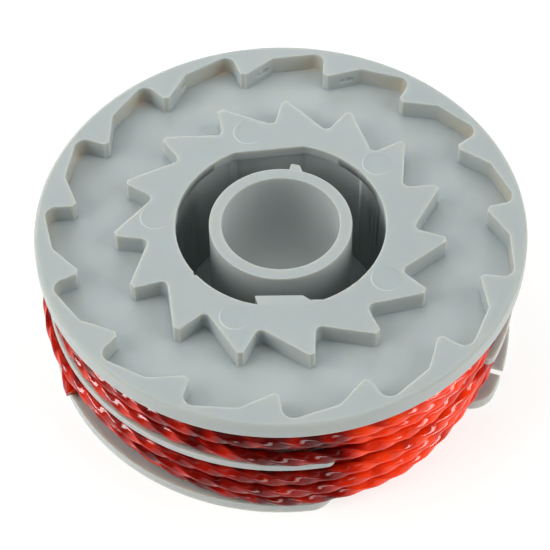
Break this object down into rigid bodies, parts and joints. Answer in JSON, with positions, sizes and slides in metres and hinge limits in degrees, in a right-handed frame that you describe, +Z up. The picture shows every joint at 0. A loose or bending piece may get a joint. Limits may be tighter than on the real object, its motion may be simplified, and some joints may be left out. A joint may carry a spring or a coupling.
{
  "type": "trimmer line spool",
  "caption": "Flanged plastic spool with a ratchet track of inner and outer teeth on top, a bored hub in a round well, and twisted line wound in its side-by-side channels.",
  "frame": {"origin": "on the hub's axis, in the plane of the bottom flange's underside that the spool stands on", "axes": "+Z up along the hub's axis towards the toothed face, -Y towards the tab in the well's mouth"},
  "size_m": [0.072, 0.072, 0.0235],
  "materials": {
    "grey_moulding": "satin moulded plastic",
    "red_line": "glossy translucent drawn line"
  },
  "bodies": {
    "root": {"spool_body": "grey_moulding", "upper_line": "red_line", "lower_line": "red_line"}
  },
  "joints": []
}
